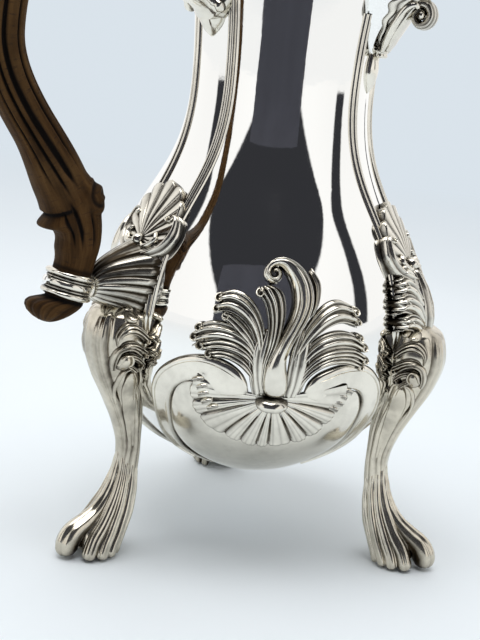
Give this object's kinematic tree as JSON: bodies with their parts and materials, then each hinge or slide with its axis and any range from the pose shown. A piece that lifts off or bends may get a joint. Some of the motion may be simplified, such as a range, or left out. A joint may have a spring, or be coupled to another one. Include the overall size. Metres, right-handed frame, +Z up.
{
  "type": "footed coffee pot",
  "caption": "Tall baluster silver coffee pot on scrolled cabriole legs, with raised shell panels, a beak spout, a hinged domed lid and a carved wooden handle.",
  "frame": {"origin": "the pot's vertical axis at the table surface, between its feet", "axes": "+Z up along the pot's axis; -X towards the handle; the spout lies 120 degrees from the handle, at 300 degrees counter-clockwise from +X, and the rear leg at 60 degrees"},
  "size_m": [0.1824, 0.141, 0.2797],
  "materials": {
    "polished_silver": "hand polished",
    "cast_silver": "cast, chased and polished",
    "fruitwood": "carved and waxed"
  },
  "bodies": {
    "pot": {"body_shell": "polished_silver", "rim_wire": "cast_silver", "band_edges_handle": "cast_silver", "band_edges_spout": "cast_silver", "band_edges_rear": "cast_silver", "leg_handle": "cast_silver", "leg_spout": "cast_silver", "leg_rear": "cast_silver", "knee_shell_handle": "cast_silver", "knee_shell_spout": "cast_silver", "knee_shell_rear": "cast_silver", "knee_leaf_spout": "cast_silver", "knee_leaf_rear": "cast_silver", "handle_bracket": "cast_silver", "cartouche_front": "cast_silver", "cartouche_right": "cast_silver", "cartouche_back": "cast_silver", "spout": "polished_silver", "spout_leaf": "cast_silver", "spout_drop": "cast_silver", "upper_socket": "polished_silver", "upper_socket_drop": "cast_silver", "upper_handle_pin": "cast_silver", "lower_collar": "cast_silver", "lower_handle_pin": "cast_silver", "handle": "fruitwood", "body_hinge": "cast_silver", "hinge_pin": "cast_silver"},
    "lid": {"lid": "polished_silver", "lid_edge_wire": "cast_silver", "lid_bezel": "polished_silver", "lid_bands": "cast_silver", "finial": "cast_silver", "finial_calyx": "cast_silver", "finial_nut": "cast_silver", "lid_hinge": "cast_silver", "thumbpiece": "cast_silver"}
  },
  "joints": [
    {"name": "lid_hinge", "type": "hinge", "parent": "pot", "child": "lid", "pos_m": [-0.0436, 0, 0.2236], "axis": [0, -1, 0], "range_deg": [0, 90]}
  ]
}
